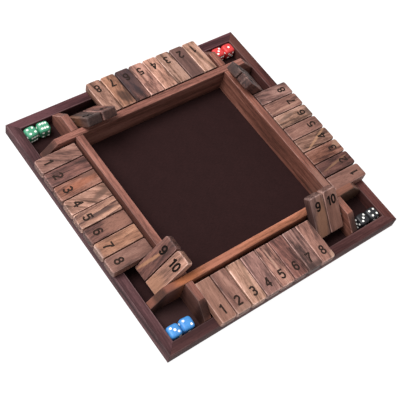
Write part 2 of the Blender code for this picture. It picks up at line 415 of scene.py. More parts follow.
@dataclass(frozen=True)
class Pattern:
    """An irregular pattern in a surface, drawn at its size in millimetres."""

    size_mm: float
    detail: float = 2.0
    roughness: float = 0.5
    stretch: float = 1.0  # under 1 where the pattern runs on along the grain

    def draw(self, tree: Tree, place: Socket, millimetre: float = MM, run_on: float = 1.0) -> Node:
        """Add the pattern's nodes.

        Args:
            tree: Node tree of the material.
            place: Socket of the coordinates.
            millimetre: One millimetre in the unit of those coordinates.
            run_on: Under 1 where the pattern runs on even further.

        Returns:
            The noise node.
        """
        squeeze = (self.stretch * run_on, 1.0, 1.0)
        squeezed = add_node(tree, "VectorMath", {0: place, 1: squeeze}, operation="MULTIPLY").outputs[0]
        return add_node(tree, "TexNoise", {
            "Vector": squeezed, "Scale": 1 / (self.size_mm * millimetre), "Detail": self.detail,
            "Roughness": self.roughness,
        })


@dataclass(frozen=True)
class Sawing:
    """How a board was sawn from the log, which sets how its year rings show."""

    lie_deg: float = 0.0  # 0 where the board runs along the piece's own X, 90 where along Y
    slant_deg: float = 0.0  # turn of the grain on the board's face
    dive_deg: float = 2.5  # how steeply the grain runs down through the board
    heart_mm: Point2 = (14.0, -38.0)  # middle of the log from the board's middle, across and up
    seed: str = "board"
    LOG_MM = (-400.0, 400.0)  # stretch of the log that the boards come from

    def in_log(self, tree: Tree, place: Socket) -> Socket:
        """Coordinates in the log, in millimetres, with the grain along X.

        Args:
            tree: Node tree of the material.
            place: Socket of the piece's own coordinates.

        Returns:
            The socket of the coordinates.
        """
        along = random.Random(self.seed).uniform(*self.LOG_MM)
        return add_node(tree, "Mapping", {
            "Vector": place,
            "Scale": (1 / MM,) * 3,
            "Rotation": (0.0, math.radians(self.dive_deg), math.radians(self.lie_deg + self.slant_deg)),
            "Location": (along, self.heart_mm[0], -self.heart_mm[1]),
        }).outputs[0]


@dataclass(frozen=True)
class Patch:
    """A streak or patch of another colour on a piece's face, in millimetres."""

    colour: str
    centre_mm: Point2
    half_mm: Point2
    slant_deg: float = 0.0
    strength: float = 0.8
    RAGGED = -0.7  # how far the fibres move its edge
    FADING = {"From Min": 0.2, "From Max": 0.95, "To Max": 0.0}

    def lay(self, tree: Tree, place: Socket, colour: Socket, fibres: Socket) -> Socket:
        """Lay the patch into a colour, with an edge that follows the fibres.

        Args:
            tree: Node tree of the material.
            place: Socket of the piece's own coordinates.
            colour: Socket of the colour so far.
            fibres: Socket of the fibre pattern.

        Returns:
            Socket of the new colour.
        """
        local = add_node(tree, "Mapping", {
            "Vector": place,
            "Location": (self.centre_mm[0] * MM, self.centre_mm[1] * MM, 0.0),
            "Rotation": (0.0, 0.0, math.radians(self.slant_deg)),
            "Scale": (self.half_mm[0] * MM, self.half_mm[1] * MM, 1.0),
        }, vector_type="TEXTURE").outputs[0]
        reach = add_node(tree, "VectorMath", {0: local}, operation="LENGTH").outputs["Value"]
        ragged = add_node(tree, "Math", {
            0: fibres, 1: self.RAGGED, 2: reach,
        }, operation="MULTIPLY_ADD").outputs[0]
        share = add_node(tree, "MapRange", {
            "Value": ragged, "To Min": self.strength, **self.FADING,
        }, interpolation_type="SMOOTHSTEP").outputs[0]
        mix = {0: share, 6: colour, 7: linear(self.colour)}
        return add_node(tree, "Mix", mix, data_type="RGBA").outputs[2]


@dataclass(frozen=True)
class Timber:
    """Oiled hardwood, planed and sanded: open grain, a dull shine, arrises drawn paler for wear and a
    painted highlight, and a top that can be drawn lighter as painted light.
    """

    light: str
    mid: str
    dark: str
    worn: float = 2.1  # how much lighter the arrises are drawn, for wear and a painted highlight
    top_gain: float = 1.0  # painted light: how much lighter the top is drawn, where it faces the light
    long_share: float = 1.0  # under 1 on long boards, whose pattern runs on further
    ring_mm: float = 3.2
    ring_share: float = 0.2
    band_share: float = 0.62
    fibre_share: float = 0.55
    stain_share: float = 0.65
    shine: float = 0.2

    WANDER = Pattern(50 / 3, stretch=0.3)  # slow bends in the grain
    WANDER_MM = (0.0, 5.0, 5.0)  # how far they carry it
    BANDS = Pattern(6.0, 3.0, stretch=0.12)  # lighter and darker growth
    # Fibres are about 0.05 mm thick and too fine to show, so they are drawn 0.9 mm apart
    FIBRES = Pattern(0.9, 4.0, 0.65, 0.07)
    STAIN = Pattern(13.0, 4.0, 0.6, 0.4)  # oil that soaked in unevenly
    # Pores are about 0.2 mm wide, so they are drawn 0.55 mm apart
    PORES = Pattern(0.55, 1.0, stretch=0.12)
    FLECKS = Pattern(1.7, 3.0, 0.7)  # specks in the end grain
    WAVE_TURN = 0.314  # Blender's wave repeats every 0.314 of its own units
    RING_BEND = {"Distortion": 1.2, "Detail": 2.0, "Detail Scale": 2.0}
    TONE_STOPS = (0.12, 0.88, 0.5)  # places of the dark, light and middle tone
    OPEN_PORES = {"From Min": 0.58, "From Max": 0.7, "To Min": 0.0, "To Max": 0.5}
    # Painted light: how far up a face must point to be drawn lighter as a lit top
    TOP_FACE = {"From Min": 0.8, "From Max": 0.95}
    SOAKED_END = {"From Min": 0.5, "From Max": 0.95, "To Min": 0.0, "To Max": 0.7}
    SPECKS = {"From Min": 0.4, "From Max": 0.6, "To Min": 0.1, "To Max": 1.3}
    # the arris wear and painted highlight, broken up by the fibres
    BROKEN_WEAR = {"From Min": 0.3, "From Max": 0.7, "To Min": 0.35, "To Max": 1.0}
    BLEACHED = 0.72  # saturation left where an arris is drawn paler, for wear and a painted highlight
    RELIEF = {"Distance": 0.06 * MM, "Strength": 0.6}
    ROUGHNESS = {"To Min": 0.46, "To Max": 0.7}
    IOR = 1.5

    def material(
        self,
        name: str,
        sawing: Sawing,
        patches: Sequence[Patch] = (),
        shade: float = 1.0,
        stripes: float = 1.0,
    ) -> Material:
        """Make the material of one board of this timber.

        Args:
            name: Name of the material.
            sawing: How the board was sawn.
            patches: Streaks and patches of other colours.
            shade: How light the board is beside others of its timber.
            stripes: How strong its pattern is beside theirs.

        Returns:
            The material.
        """
        material, shader = new_material(name)
        tree = material.node_tree
        coords = add_node(tree, "TexCoord")
        place, normal = coords.outputs["Object"], coords.outputs["Normal"]
        board = sawing.in_log(tree, place)
        fibres, tone = self.grain(tree, board, stripes)
        stops = zip(self.TONE_STOPS, (self.dark, self.light, self.mid))
        colour = add_node(tree, "ValToRGB", {"Fac": tone}, stops).outputs[0]
        colour = add_node(tree, "HueSaturation", {"Color": colour, "Value": shade}).outputs[0]
        for patch in patches:
            colour = patch.lay(tree, place, colour, fibres)
        pores = self.PORES.draw(tree, board, 1.0).outputs["Fac"]
        pores = add_node(tree, "MapRange", {"Value": pores, **self.OPEN_PORES}).outputs[0]
        for share in (pores, self.end_grain(tree, normal, board, sawing.lie_deg)):
            mix = {0: share, 6: colour, 7: linear(self.dark)}
            colour = add_node(tree, "Mix", mix, data_type="RGBA").outputs[2]
        # Painted light: faces that point up are drawn lighter, as a lit top
        up = add_node(tree, "SeparateXYZ", {0: normal}).outputs["Z"]
        # Arrises drawn lighter and paler, for wear together with a painted highlight
        rubbed = self.rubbed(tree, fibres)
        gain, wear_and_highlight_gain, edge_paling = (
            add_node(tree, "MapRange", {"Value": value, **reach, "To Min": 1.0, "To Max": full}).outputs[0]
            for value, reach, full in (
                (up, self.TOP_FACE, self.top_gain), (rubbed, {}, self.worn), (rubbed, {}, self.BLEACHED),
            )
        )
        gain = add_node(tree, "Math", {0: gain, 1: wear_and_highlight_gain}, operation="MAXIMUM").outputs[0]
        colour = add_node(tree, "HueSaturation", {"Color": colour, "Value": gain, "Saturation": edge_paling})
        relief = add_node(tree, "Math", {0: fibres, 1: pores}, operation="SUBTRACT").outputs[0]
        feed(shader, {
            "Base Color": colour.outputs[0],
            "Roughness": add_node(tree, "MapRange", {"Value": fibres, **self.ROUGHNESS}).outputs[0],
            "Normal": add_node(tree, "Bump", {"Height": relief, **self.RELIEF}).outputs[0],
            "IOR": self.IOR,
            "Specular IOR Level": self.shine,
        })
        return material

    def grain(self, tree: Tree, board: Socket, stripes: float) -> tuple[Socket, Socket]:
        """Draw the year rings, bands, fibres and stains of a board.

        Args:
            tree: Node tree of the material.
            board: Socket of the coordinates in the log.
            stripes: How strong they all are.

        Returns:
            The sockets of the fibres and of everything together.
        """
        strayed = self.WANDER.draw(tree, board, 1.0).outputs["Color"]
        bent = add_node(tree, "VectorMath", {
            0: strayed, 1: self.WANDER_MM, 2: board,
        }, operation="MULTIPLY_ADD").outputs[0]
        rings = add_node(tree, "TexWave", {
            "Vector": bent, "Scale": self.WAVE_TURN / self.ring_mm, **self.RING_BEND,
        }, wave_type="RINGS", rings_direction="X", wave_profile="SAW").outputs["Fac"]
        bands = self.BANDS.draw(tree, bent, 1.0, self.long_share).outputs["Fac"]
        fibres = self.FIBRES.draw(tree, bent, 1.0).outputs["Fac"]
        stain = self.STAIN.draw(tree, board, 1.0, self.long_share).outputs["Fac"]
        parts = ((rings, self.ring_share), (bands, 2 * self.band_share), (fibres, 2 * self.fibre_share),
                 (stain, 2 * self.stain_share))
        return fibres, weighed(tree, [(part, weight * stripes) for part, weight in parts])

    def end_grain(self, tree: Tree, normal: Socket, board: Socket, lie_deg: float) -> Socket:
        """Share of dark oil, which soaks into the ends of the board in specks.

        Args:
            tree: Node tree of the material.
            normal: Socket of the surface's direction in the piece's own frame.
            board: Socket of the coordinates in the log.
            lie_deg: Which way the board runs.

        Returns:
            The socket of the share.
        """
        along = (math.cos(math.radians(lie_deg)), math.sin(math.radians(lie_deg)), 0.0)
        facing = add_node(tree, "VectorMath", {0: normal, 1: along}, operation="DOT_PRODUCT")
        facing = add_node(tree, "Math", {0: facing.outputs["Value"]}, operation="ABSOLUTE").outputs[0]
        soaked = add_node(tree, "MapRange", {"Value": facing, **self.SOAKED_END}).outputs[0]
        flecks = self.FLECKS.draw(tree, board, 1.0).outputs["Fac"]
        specks = add_node(tree, "MapRange", {"Value": flecks, **self.SPECKS}).outputs[0]
        share = add_node(tree, "Math", {0: soaked, 1: specks}, operation="MULTIPLY", use_clamp=True)
        return share.outputs[0]

    def rubbed(self, tree: Tree, fibres: Socket) -> Socket:
        """Share of wear and painted highlight along the arrises, broken up by the fibres.

        Args:
            tree: Node tree of the material.
            fibres: Socket of the fibre pattern.

        Returns:
            The socket of the share.
        """
        edge = add_node(tree, "Attribute", attribute_name=ARRIS).outputs["Fac"]
        broken = add_node(tree, "MapRange", {"Value": fibres, **self.BROKEN_WEAR}).outputs[0]
        return add_node(tree, "Math", {0: edge, 1: broken}, operation="MULTIPLY").outputs[0]


@dataclass(frozen=True)
class BurntFigure:
    """Wood charred by a hot stamp: near black brown and dead matt."""

    name: str
    deep: str
    brown: str
    CHAR = Pattern(1.2, 3.0)  # crust that cracked in the heat
    STOPS = (0.3, 0.7)
    RELIEF = {"Distance": 0.05 * MM, "Strength": 0.5}
    LOOK = {"Roughness": 0.9, "Specular IOR Level": 0.1}

    def material(self) -> Material:
        """Make the material."""
        material, shader = new_material(f"burnt_figure_{self.name}")
        tree = material.node_tree
        grit = self.CHAR.draw(tree, add_node(tree, "TexCoord").outputs["Object"]).outputs["Fac"]
        colour = add_node(tree, "ValToRGB", {"Fac": grit}, zip(self.STOPS, (self.deep, self.brown)))
        bump = add_node(tree, "Bump", {"Height": grit, **self.RELIEF})
        feed(shader, {"Base Color": colour.outputs[0], "Normal": bump.outputs[0], **self.LOOK})
        return material


@dataclass(frozen=True)
class WoolFelt:
    """Pressed wool felt: a short uneven nap, a soft sheen at a low angle and no shine."""

    dark: str = "#1e1111"
    light: str = "#301c1c"
    sheen: str = "#6a4a46"
    faded: Patch = Patch("#3b2827", (-145.0, -145.0), (32.0, 32.0))  # painted light: felt drawn lighter in one pocket, where the frame and rails shade it
    CLOUDS = Pattern(18.0, 4.0)  # where the wool lies thicker
    # Wool fibres are about 0.03 mm thick, so they are drawn 0.7 mm apart
    FIBRES = Pattern(0.7, 3.0, 0.7)
    FIBRE_STRETCH = 0.18
    LAYER_TURNS_DEG = (15.0, 75.0, 135.0)  # they set the layers of fibres apart
    NAP_SHARE = 3.0
    CLOUD_SHARE = 0.4
    STOPS = (0.0, 1.0)
    RELIEF = {"Distance": 0.3 * MM, "Strength": 0.8}
    LOOK = {"Roughness": 0.95, "Specular IOR Level": 0.1, "Sheen Weight": 0.12, "Sheen Roughness": 0.6}

    def material(self) -> Material:
        """Make the material."""
        material, shader = new_material("pressed_wool_felt")
        tree = material.node_tree
        place = add_node(tree, "TexCoord").outputs["Object"]
        nap: Any = 0.0
        for turn_deg in self.LAYER_TURNS_DEG:
            layer = add_node(tree, "Mapping", {
                "Vector": place, "Rotation": (0.0, 0.0, math.radians(turn_deg)),
                "Scale": (self.FIBRE_STRETCH / MM, 1 / MM, 1 / MM),
            }).outputs[0]
            fibres = self.FIBRES.draw(tree, layer, 1.0).outputs["Fac"]
            nap = add_node(tree, "Math", {
                0: fibres, 1: 1 / len(self.LAYER_TURNS_DEG), 2: nap,
            }, operation="MULTIPLY_ADD").outputs[0]
        clouds = self.CLOUDS.draw(tree, place).outputs["Fac"]
        tone = weighed(tree, ((nap, self.NAP_SHARE), (clouds, self.CLOUD_SHARE)))
        colour = add_node(tree, "ValToRGB", {"Fac": tone}, zip(self.STOPS, (self.dark, self.light)))
        feed(shader, {
            "Base Color": self.faded.lay(tree, place, colour.outputs[0], nap),
            "Normal": add_node(tree, "Bump", {"Height": nap, **self.RELIEF}).outputs[0],
            "Sheen Tint": linear(self.sheen),
            **self.LOOK,
        })
        return material


@dataclass(frozen=True)
class DrawnSteel:
    """Bright drawn steel rod: fine draw lines along it that stretch the highlight."""

    dull: str = "#8f8b86"
    pale: str = "#cfccc6"
    # Draw lines are a few hundredths of a millimetre wide, so they are drawn 0.4 mm apart
    LINES = Pattern(0.4, 3.0)
    LINE_STRETCH = 0.03
    STOPS = (0.3, 0.7)
    ROUGHNESS = {"To Min": 0.38, "To Max": 0.22}

    def material(self) -> Material:
        """Make the material of a rod that runs along its own Y."""
        material, shader = new_material("drawn_steel")
        tree = material.node_tree
        drawn = add_node(tree, "Mapping", {
            "Vector": add_node(tree, "TexCoord").outputs["Object"],
            "Scale": (1 / MM, self.LINE_STRETCH / MM, 1 / MM),
        }).outputs[0]
        lines = self.LINES.draw(tree, drawn, 1.0).outputs["Fac"]
        colour = add_node(tree, "ValToRGB", {"Fac": lines}, zip(self.STOPS, (self.dull, self.pale)))
        rough = add_node(tree, "MapRange", {"Value": lines, **self.ROUGHNESS})
        feed(shader, {"Base Color": colour.outputs[0], "Roughness": rough.outputs[0], "Metallic": 1.0})
        return material


@dataclass(frozen=True)
class TumbledAcrylic:
    """Cast acrylic, tumbled to a shine: clear colour, soft highlights, faint handling marks."""

    name: str
    colour: str
    shade: str
    glow: float = 0.08
    CLOUDS = Pattern(5.0, 3.0)  # swirls of the poured colour
    MARKS = Pattern(5 / 3, 5.0)  # rubs from handling
    STOPS = (0.3, 0.65)
    ROUGHNESS = {"To Min": 0.42, "To Max": 0.55}
    LOOK = {"IOR": 1.49, "Subsurface Scale": 1.5 * MM}

    def material(self) -> Material:
        """Make the material."""
        material, shader = new_material(f"tumbled_acrylic_{self.name}")
        tree = material.node_tree
        place = add_node(tree, "TexCoord").outputs["Object"]
        clouds = self.CLOUDS.draw(tree, place).outputs["Fac"]
        marks = self.MARKS.draw(tree, place).outputs["Fac"]
        colour = add_node(tree, "ValToRGB", {"Fac": clouds}, zip(self.STOPS, (self.shade, self.colour)))
        rough = add_node(tree, "MapRange", {"Value": marks, **self.ROUGHNESS})
        feed(shader, {
            "Base Color": colour.outputs[0], "Roughness": rough.outputs[0], "Subsurface Weight": self.glow,
            **self.LOOK,
        })
        return material


@dataclass(frozen=True)
class PipPaint:
    """White enamel wiped into the dimples of a die: smooth, a little uneven."""

    grey: str = "#d9d6cf"
    white: str = "#f4f2ec"
    UNEVEN = Pattern(10 / 9)  # where the paint was wiped thinner
    STOPS = (0.3, 0.55)
    LOOK = {"Roughness": 0.35, "Emission Strength": 0.15}  # painted light: the enamel glows a little, so that pips on shaded faces stay bright

    def material(self) -> Material:
        """Make the material."""
        material, shader = new_material("pip_enamel")
        tree = material.node_tree
        uneven = self.UNEVEN.draw(tree, add_node(tree, "TexCoord").outputs["Object"]).outputs["Fac"]
        colour = add_node(tree, "ValToRGB", {"Fac": uneven}, zip(self.STOPS, (self.grey, self.white)))
        feed(shader, {"Base Color": colour.outputs[0], "Emission Color": colour.outputs[0], **self.LOOK})
        return material


@dataclass(frozen=True)
class LitOpalSheet:
    """Opal acrylic sheet lit from below: an even white with the faintest mottle and no shine."""

    pale: str = "#686868"
    white: str = "#6c6c6c"
    glow: str = "#ffffff"
    MOTTLE = Pattern(1000 / 9)  # the lamps behind the sheet
    STOPS = (0.3, 0.7)
    LOOK = {"Roughness": 0.9, "Specular IOR Level": 0.1, "Emission Strength": 0.96}

    def material(self) -> Material:
        """Make the material."""
        material, shader = new_material("lit_opal_sheet")
        tree = material.node_tree
        mottle = self.MOTTLE.draw(tree, add_node(tree, "TexCoord").outputs["Object"]).outputs["Fac"]
        colour = add_node(tree, "ValToRGB", {"Fac": mottle}, zip(self.STOPS, (self.pale, self.white)))
        feed(shader, {"Base Color": colour.outputs[0], "Emission Color": linear(self.glow), **self.LOOK})
        return material


class Tone(Enum):
    """Timber of a tile; the member's name is its material slot in the record."""

    ROSE = Timber("#a3796b", "#815b50", "#49332e")
    UMBER = Timber("#81584d", "#603f39", "#32211e")
    RUSSET = Timber("#996c5d", "#7a4f40", "#452a24")
    TAN = Timber("#b48876", "#8e6758", "#51392f")
    STRIPED = Timber("#bc8f79", "#926a5a", "#442c29", ring_mm=6.5, ring_share=0.6, band_share=0.4)
    GOLDEN = Timber("#b3846b", "#8e634f", "#4f372c")
    STRAW = Timber("#b9907f", "#96705e", "#594137")
    GREYED = Timber("#957167", "#72524b", "#3e2d2a")

    @property
    def slot(self) -> str:
        """The record's material slot of this timber."""
        return "tile_" + self.name.lower()


@dataclass(frozen=True)
class TileLook:
    """What one tile's wood looks like."""

    tone: Tone
    slant_deg: float = 2.0
    patches: tuple[Patch, ...] = ()
    shade: float = 1.0  # how light the board is beside others of its timber
    stripes: float = 1.0  # how strong its pattern is beside theirs


# Looks of tiles 1 to 10 on each side. A patch is placed along the tile from its rod and across it.
ROW_LOOKS: dict[Side, tuple[TileLook, ...]] = {
    Side.A: (
        TileLook(Tone.ROSE, 28.0, shade=0.94),
        TileLook(Tone.UMBER, 6.0, shade=1.38),
        TileLook(Tone.RUSSET, -4.0, (Patch("#a2644c", (14.0, 0.0), (22.0, 5.0), strength=0.6),
                                     Patch("#6b4c42", (-6.0, -8.0), (12.0, 4.0))), 1.05, stripes=1.2),
        TileLook(Tone.TAN, 35.0, (Patch("#5e463c", (-2.0, 2.0), (13.0, 4.0), 14.0),), stripes=1.2),
        TileLook(Tone.STRIPED, 0.0, (Patch("#54403a", (14.0, 2.0), (24.0, 2.6)),)),
        TileLook(Tone.UMBER, -3.0, (Patch("#8f6455", (2.0, 0.0), (20.0, 12.0)),), 0.85, stripes=1.6),
        TileLook(Tone.GOLDEN, 4.0, (Patch("#8b6f66", (44.0, 0.0), (5.0, 14.0)),), 1.05, stripes=0.9),
        TileLook(Tone.ROSE, 1.0, shade=0.83, stripes=0.7),
        TileLook(Tone.UMBER, 3.0, (Patch("#a5775a", (6.0, -3.0), (22.0, 2.2), 12.0, 0.7),), 0.92),
        TileLook(Tone.TAN, -6.0, (Patch("#a0735a", (-8.0, 0.0), (16.0, 12.0), strength=0.6),), 1.12, 0.8),
    ),
    Side.B: (
        TileLook(Tone.TAN, 5.0, (Patch("#8a6254", (18.0, 0.0), (34.0, 16.0), strength=0.55),), 0.95, 0.8),
        TileLook(Tone.ROSE, -3.0, (Patch("#a5806f", (40.0, 0.0), (7.0, 12.0), strength=0.5),), 0.94, 0.8),
        TileLook(Tone.STRAW, 5.0, (Patch("#8a6a58", (18.0, 3.5), (26.0, 1.6), -6.0),), 1.2),
        TileLook(Tone.GREYED, 2.0, shade=1.54, stripes=0.8),
        TileLook(Tone.ROSE, 0.0, (Patch("#b7917f", (16.0, 0.0), (28.0, 1.4), strength=0.6),), 1.3, 1.8),
        TileLook(Tone.UMBER, -5.0, shade=1.55, stripes=1.1),
        TileLook(Tone.GREYED, 0.0, (Patch("#42322f", (41.0, 0.0), (7.0, 13.0)),), 1.15, stripes=1.4),
        TileLook(Tone.ROSE, 7.0, (Patch("#b79480", (41.0, 8.0), (8.0, 4.0), strength=0.6),), 1.2, 0.9),
        TileLook(Tone.GREYED, -2.0, (Patch("#845c46", (4.0, 1.0), (34.0, 9.0), 8.0),
                                    Patch("#3a2826", (14.0, -13.0), (44.0, 4.0), strength=0.85)), 0.74, 1.2),
        TileLook(Tone.ROSE, 3.0, (Patch("#7a5143", (6.0, 0.0), (24.0, 11.0), strength=0.55),), 0.86, 0.9),
    ),
    Side.C: (
        TileLook(Tone.ROSE, 0.0, shade=0.96, stripes=0.4),
        TileLook(Tone.UMBER, 2.0, (Patch("#8f6a50", (14.0, 1.0), (24.0, 1.5), 10.0, 0.6),), 0.85),
        TileLook(Tone.RUSSET, 0.0, (Patch("#a98570", (38.0, 4.0), (9.0, 6.0), 30.0, 0.6),), 0.92, 1.2),
        TileLook(Tone.TAN, 8.0, (Patch("#b98c6c", (18.0, 0.0), (28.0, 1.8), 24.0, 0.55),), 0.72, 1.3),
        TileLook(Tone.ROSE, 1.0, stripes=0.75),
        TileLook(Tone.STRAW, 3.0, (Patch("#54423b", (41.0, -3.0), (8.0, 9.0)),
                                   Patch("#5e4a42", (4.0, 3.0), (16.0, 3.0), 10.0, 0.6)), 0.9, stripes=1.4),
        TileLook(Tone.ROSE, -4.0, (Patch("#b48c78", (14.0, -5.0), (26.0, 1.4), 3.0, 0.5),), 0.95, 0.9),
        TileLook(Tone.GREYED, 10.0, shade=1.2, stripes=1.2),
        TileLook(Tone.UMBER, 24.0, (Patch("#8d6d64", (42.0, 0.0), (12.0, 0.9), 50.0, 0.6),), 0.7, 1.4),
        TileLook(Tone.GREYED, 0.0, shade=0.36),
    ),
    Side.D: (
        TileLook(Tone.STRAW, 0.0, shade=1.15),
        TileLook(Tone.GREYED, 3.0, shade=0.77, stripes=0.5),
        TileLook(Tone.STRAW, -2.0, shade=0.8, stripes=1.9),
        TileLook(Tone.TAN, 3.0, shade=1.45, stripes=1.15),
        TileLook(Tone.ROSE, 0.0, (Patch("#6a4a40", (16.0, 3.0), (28.0, 1.6)),), 1.35, stripes=1.4),
        TileLook(Tone.UMBER, 0.0, (Patch("#3c3033", (22.0, 0.0), (30.0, 14.0), strength=0.72),), 1.0, 2.2),
        TileLook(Tone.GOLDEN, 4.0, (Patch("#3f2c26", (2.0, -2.0), (13.0, 7.0), 24.0),), 1.1),
        TileLook(Tone.TAN, 0.0, shade=0.88, stripes=1.2),
        TileLook(Tone.UMBER, 5.0, (Patch("#3c2823", (45.0, 0.0), (6.0, 14.0)),), 1.05, stripes=1.5),
        TileLook(Tone.GREYED, 0.0, (Patch("#6a4531", (2.0, 9.0), (24.0, 5.0)),
                                    Patch("#150f0e", (45.0, 0.0), (6.0, 14.0))), 0.36),
    ),
}


def frame_timber(light: str, mid: str, dark: str, worn: float) -> Timber:
    """Mahogany of one frame side: a quiet figure, and hardly any shine."""
    return Timber(light, mid, dark, worn, 1.0, 0.25, band_share=0.3, fibre_share=0.3, stain_share=0.9,
                  shine=0.05)


# A patch on the frame is placed outwards from the board's middle and along the side
FRAME_MIDDLE_MM = (FRAME_INNER + BOARD_HALF) / 2 / MM
# Painted shade: the frame's inner wall drawn darker, down beside the felt where it lies in shade
INNER_WALL_SHADE = Patch("#3a2422", (FRAME_INNER / MM - 3.0, 0.0), (4.0, 200.0), strength=0.75)
FRAME_LOOKS: dict[Side, tuple[Timber, tuple[Patch, ...]]] = {
    Side.A: (frame_timber("#634547", "#4b3234", "#2e1f20", 1.9), (INNER_WALL_SHADE,)),
    Side.B: (
        frame_timber("#61403e", "#492e2d", "#2d1d1d", 1.5),
        (Patch("#3d2829", (FRAME_MIDDLE_MM, -130.0), (10.0, 60.0), strength=0.6), INNER_WALL_SHADE),
    ),
    Side.C: (
        frame_timber("#6d4540", "#53312e", "#331f1d", 1.5),
        (Patch("#624039", (FRAME_MIDDLE_MM, 150.0), (10.0, 40.0), strength=0.6), INNER_WALL_SHADE),
    ),
    Side.D: (
        frame_timber("#6c474c", "#523336", "#332123", 1.8),
        (Patch("#634246", (FRAME_MIDDLE_MM, 150.0), (10.0, 45.0), strength=0.6), INNER_WALL_SHADE),
    ),
}

# A patch on a rail is placed outwards from the board's middle and along the rail
RAIL_OUTER_MM = RAIL_OUTER / MM
RAIL_MIDDLE_MM = (TRAY_HALF + RAIL_OUTER) / 2 / MM
# A rail's timber gives its light, middle and dark tone, how much lighter its arrises are for wear and a
# painted highlight, how much lighter its top is as painted light, and how far its pattern runs on
RAIL_LOOKS: dict[Side, tuple[Timber, tuple[Patch, ...]]] = {
    Side.A: (
        Timber("#906053", "#754b41", "#4a2e27", 1.8, 1.35, 0.25),
        # Painted shade: the outer face, under the tile tails, all along the rail
        (Patch("#5e3b33", (RAIL_OUTER_MM + 3.0, 0.0), (4.0, 130.0), strength=0.9),
         # Painted shade: the outer face beside the pocket
         Patch("#3f2a25", (RAIL_OUTER_MM + 2.0, 146.0), (4.0, 34.0)),
         Patch("#2a1814", (RAIL_MIDDLE_MM, 155.0), (9.0, 9.0), strength=0.95)),
    ),
    Side.B: (
        Timber("#b87860", "#955d46", "#5e3827", 1.6, 1.1, 0.25),
        # Painted shade: the outer face, under the tile tails, all along the rail
        (Patch("#5c3326", (RAIL_OUTER_MM + 3.0, 0.0), (4.0, 130.0), strength=0.9),
         Patch("#97614f", (RAIL_MIDDLE_MM, -62.0), (12.0, 26.0), strength=0.6),
         Patch("#a5633f", (RAIL_MIDDLE_MM, -118.0), (6.0, 24.0)),
         Patch("#6d4a40", (RAIL_MIDDLE_MM, 140.0), (14.0, 62.0), strength=0.7),
         Patch("#6b4239", (RAIL_MIDDLE_MM, -152.0), (14.0, 26.0)),
         # Painted shade: the outer face beside one pocket
         Patch("#4a302a", (RAIL_OUTER_MM + 2.0, -146.0), (4.0, 34.0)),
         # Painted shade: the outer face beside the other pocket
         Patch("#3a2a20", (RAIL_OUTER_MM + 2.0, 146.0), (4.0, 34.0), strength=0.85),
         Patch("#33201b", (RAIL_MIDDLE_MM, -151.0), (10.0, 7.0), strength=0.9)),
    ),
    Side.C: (
        Timber("#966455", "#73473b", "#422923", 1.9, 1.3, 0.25),
        (Patch("#7d5b50", (RAIL_MIDDLE_MM, -98.0), (5.0, 32.0)),
         Patch("#5f3b32", (RAIL_MIDDLE_MM, 0.0), (5.0, 44.0), strength=0.7),
         Patch("#2e1f1c", (RAIL_MIDDLE_MM + 2.5, -160.0), (7.0, 14.0), strength=0.9)),
    ),
    Side.D: (
        Timber("#8c6055", "#70473d", "#402821", 1.8, 1.5, 0.25),
        (Patch("#35201b", (RAIL_MIDDLE_MM, 156.0), (9.0, 9.0), strength=0.85),),
    ),
}


@dataclass
class OuterFrame:
    """Four frame sides, mitred and glued, with soft arrises and a rebate for the base."""

    width: float = 13.6 * MM
    arris: float = 1.3 * MM
    rebate: float = 6.0 * MM
    rebate_top: float = FELT_BOTTOM
    mitre_line: float = 0.1 * MM
    least_flat: float = 400.0 * MM ** 2
    steps: int = 4
    sawing: Sawing = Sawing(90.0, 0.8, heart_mm=(180.0, -45.0))

    def profile(self) -> list[Point2]:
        """Section of a side in u and z, anticlockwise from the rebate."""
        inner = BOARD_HALF - self.width
        right, left, top = BOARD_HALF - self.arris, inner + self.arris, FRAME_TOP - self.arris
        corners = (((right, self.arris), -90.0), ((right, top), 0.0), ((left, top), 90.0))
        return [
            (inner + self.rebate, self.rebate_top),
            (inner + self.rebate, 0.0),
            *rounded([(centre, self.arris, start_deg) for centre, start_deg in corners], self.steps),
            (inner, self.rebate_top),
        ]

    def mesh(self) -> Mesh:
        """One side, in its own frame, with both ends mitred."""
        shape = bmesh.new()
        section = self.profile()
        loft(shape, [[Vector((u, way * (u - self.mitre_line), z)) for u, z in section] for way in (-1, 1)])
        mesh = finish_mesh("frame_side", shape)
        mark_arrises(mesh, self.least_flat)
        return mesh

    def build(self) -> None:
        """Build and dress the four sides; the first stands for the whole CAD ring."""
        mesh = self.mesh()
        for side in Side:
            sawing = replace(self.sawing, seed=f"frame {side.letter}")
            timber, patches = FRAME_LOOKS[side]
            mahogany = timber.material(f"oiled_mahogany_{side.letter}", sawing, patches)
            fit(f"frame_side_{side.letter}", mesh, [mahogany], "frame_wood", side.turn, "outer_frame")


@dataclass
class FloorLining:
    """Birch base board with a felt lining laid over it."""

    wave: float = 0.05 * MM
    cells: int = 96
    birch: Timber = Timber("#c9a987", "#b5936f", "#8f6f52")

    def build(self) -> None:
        """Dress the base board and lay the felt."""
        board = frame["nodes"]["base_board"]
        board.material_slots[0].material = self.birch.material("birch_board", Sawing(seed="base"))
        felt = fit("felt", self.felt_mesh(), [WoolFelt().material()], "felt", node="felt_lining")

    def felt_mesh(self) -> Mesh:
        """The felt, a little uneven on top."""
        half = FRAME_INNER - GAP
        shape = bmesh.new()
        bmesh.ops.create_grid(shape, x_segments=self.cells, y_segments=self.cells, size=half)
        chance = random.Random("felt")
        for vertex in shape.verts:
            vertex.co.z = FELT_TOP - chance.uniform(0.0, self.wave)
        rim = [edge for edge in shape.edges if edge.is_boundary]
        skirt = bmesh.ops.extrude_edge_only(shape, edges=rim)["geom"]
        for vertex in (item for item in skirt if isinstance(item, bmesh.types.BMVert)):
            vertex.co.z = FELT_BOTTOM
        bmesh.ops.holes_fill(shape, edges=[edge for edge in shape.edges if edge.is_boundary], sides=0)
        return finish_mesh("felt", shape)


